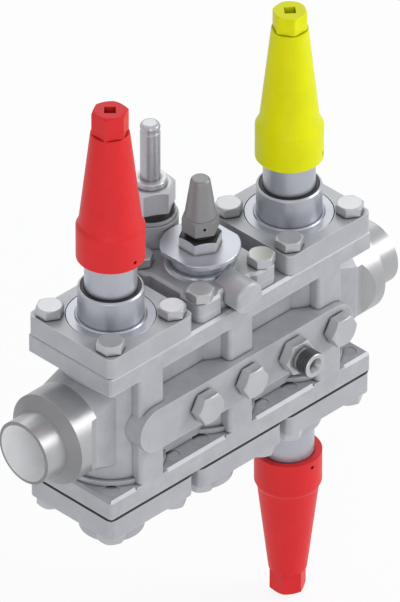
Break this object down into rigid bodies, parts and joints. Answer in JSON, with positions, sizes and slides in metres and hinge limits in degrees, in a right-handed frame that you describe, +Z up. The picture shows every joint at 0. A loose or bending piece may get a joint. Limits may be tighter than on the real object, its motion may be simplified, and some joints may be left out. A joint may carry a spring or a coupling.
{
  "type": "valve station",
  "caption": "Cast valve station for a refrigerant line: square bolted module covers, tall protecting caps on the valve spindles, service ports in the side and weld ends for the pipe.",
  "frame": {"origin": "centre of the inlet weld end's face", "axes": "+X along the pipe in the flow direction, -Y towards the service ports, +Z up along the caps"},
  "size_m": [0.348, 0.1395, 0.4981],
  "materials": {
    "cast_steel": "zinc-grey satin casting",
    "plated_cover": "zinc-grey satin with machined top",
    "machined_steel": "turned, fine rings",
    "screw_steel": "zinc-plated satin",
    "nut_steel": "zinc-plated satin",
    "stainless": "ground",
    "spring_steel": "drawn wire",
    "fluoropolymer": "waxy white",
    "gasket_fibre": "compressed fibre sheet, olive grey",
    "black_rubber": "matt black",
    "soft_aluminium": "bright soft washer",
    "connector_steel": "dark phosphated thread",
    "red_cap": "smooth moulded red",
    "yellow_cap": "smooth moulded yellow",
    "seal_cap_grey": "dark grey satin"
  },
  "bodies": {
    "station": {"armature_spring": "spring_steel", "check_cover": "plated_cover", "check_gasket": "gasket_fibre", "check_screws": "screw_steel", "check_spring": "spring_steel", "coil_nut": "nut_steel", "coil_ring": "machined_steel", "coil_tube": "stainless", "housing": "cast_steel", "inlet_nozzle": "machined_steel", "inlet_stop_bonnet": "machined_steel", "inlet_stop_cover": "plated_cover", "inlet_stop_gland": "machined_steel", "inlet_stop_neck_ring": "black_rubber", "inlet_stop_screws": "screw_steel", "outlet_nozzle": "machined_steel", "outlet_stop_bonnet": "machined_steel", "outlet_stop_cover": "plated_cover", "outlet_stop_gasket": "gasket_fibre", "outlet_stop_gland": "machined_steel", "outlet_stop_neck_ring": "black_rubber", "outlet_stop_screws": "screw_steel", "piston_spring": "spring_steel", "port_connector": "connector_steel", "port_gaskets": "soft_aluminium", "port_plugs": "screw_steel", "regulating_bonnet": "machined_steel", "regulating_cover": "plated_cover", "regulating_gland": "machined_steel", "regulating_neck_ring": "black_rubber", "regulating_screws": "screw_steel", "solenoid_cover": "cast_steel", "solenoid_screws": "screw_steel", "solenoid_spacer": "cast_steel", "stem_housing": "machined_steel", "stem_nut": "nut_steel", "strainer_basket": "stainless", "strainer_cover": "plated_cover", "strainer_gasket": "gasket_fibre", "strainer_screws": "screw_steel", "valve_seats": "stainless"},
    "inlet_stop_plug": {"inlet_stop_cone": "stainless", "inlet_stop_cone_seal": "fluoropolymer"},
    "inlet_stop_stem": {"inlet_stop_spindle": "stainless"},
    "inlet_stop_hood": {"inlet_stop_cap": "red_cap"},
    "regulating_plug": {"regulating_cone": "stainless", "regulating_cone_seal": "fluoropolymer"},
    "regulating_stem": {"regulating_spindle": "stainless"},
    "regulating_hood": {"regulating_cap": "yellow_cap"},
    "outlet_stop_plug": {"outlet_stop_cone": "stainless", "outlet_stop_cone_seal": "fluoropolymer"},
    "outlet_stop_stem": {"outlet_stop_spindle": "stainless"},
    "outlet_stop_hood": {"outlet_stop_cap": "red_cap"},
    "lifter": {"stem_lifter": "stainless"},
    "opening_stem": {"manual_stem": "stainless"},
    "stem_hood": {"seal_cap": "seal_cap_grey"},
    "piston": {"servo_piston": "stainless"},
    "plunger": {"armature": "stainless"},
    "check_flap": {"check_disc": "stainless"}
  },
  "joints": [
    {"name": "inlet_stop_lift", "type": "slide", "parent": "station", "child": "inlet_stop_plug", "axis": [0, 0, 1], "range_m": [0, 0.01]},
    {"name": "inlet_stop_spindle_turn", "type": "hinge", "parent": "inlet_stop_plug", "child": "inlet_stop_stem", "pos_m": [0.086, 0, 0], "axis": [0, 0, 1], "range_deg": [0, 1440]},
    {"name": "inlet_stop_cap_lift", "type": "slide", "parent": "station", "child": "inlet_stop_hood", "axis": [0, 0, 1], "range_m": [0, 0.055]},
    {"name": "regulating_lift", "type": "slide", "parent": "station", "child": "regulating_plug", "axis": [0, 0, 1], "range_m": [0, 0.008]},
    {"name": "regulating_spindle_turn", "type": "hinge", "parent": "regulating_plug", "child": "regulating_stem", "pos_m": [0.262, 0, 0], "axis": [0, 0, 1], "range_deg": [0, 1440]},
    {"name": "regulating_cap_lift", "type": "slide", "parent": "station", "child": "regulating_hood", "axis": [0, 0, 1], "range_m": [0, 0.055]},
    {"name": "outlet_stop_lift", "type": "slide", "parent": "station", "child": "outlet_stop_plug", "axis": [0, 0, -1], "range_m": [0, 0.01]},
    {"name": "outlet_stop_spindle_turn", "type": "hinge", "parent": "outlet_stop_plug", "child": "outlet_stop_stem", "pos_m": [0.262, 0, 0], "axis": [0, 0, -1], "range_deg": [0, 1440]},
    {"name": "outlet_stop_cap_lift", "type": "slide", "parent": "station", "child": "outlet_stop_hood", "axis": [0, 0, -1], "range_m": [0, 0.055]},
    {"name": "seal_cap_lift", "type": "slide", "parent": "station", "child": "stem_hood", "axis": [0, 0, 1], "range_m": [0, 0.03]},
    {"name": "manual_stem_lift", "type": "slide", "parent": "station", "child": "lifter", "axis": [0, 0, 1], "range_m": [0, 0.005]},
    {"name": "manual_stem_turn", "type": "hinge", "parent": "lifter", "child": "opening_stem", "pos_m": [0.174, 0, 0], "axis": [0, 0, 1], "range_deg": [0, 1440]},
    {"name": "piston_lift", "type": "slide", "parent": "station", "child": "piston", "axis": [0, 0, 1], "range_m": [0, 0.008], "stiffness_N_per_m": 1500, "springref_m": -0.005, "deforming": ["piston_spring"]},
    {"name": "armature_pull", "type": "slide", "parent": "station", "child": "plunger", "axis": [0, 0, 1], "range_m": [0, 0.0025], "stiffness_N_per_m": 300, "springref_m": -0.004, "deforming": ["armature_spring"]},
    {"name": "check_disc_open", "type": "slide", "parent": "station", "child": "check_flap", "axis": [0, 0, -1], "range_m": [0, 0.008], "stiffness_N_per_m": 400, "springref_m": -0.006, "deforming": ["check_spring"]}
  ],
  "couplings": [
    {"joint": "inlet_stop_spindle_turn", "follows": "inlet_stop_lift", "rad_per_m": 2513.3},
    {"joint": "regulating_spindle_turn", "follows": "regulating_lift", "rad_per_m": 3141.6},
    {"joint": "outlet_stop_spindle_turn", "follows": "outlet_stop_lift", "rad_per_m": 2513.3},
    {"joint": "manual_stem_turn", "follows": "manual_stem_lift", "rad_per_m": 5026.5}
  ]
}
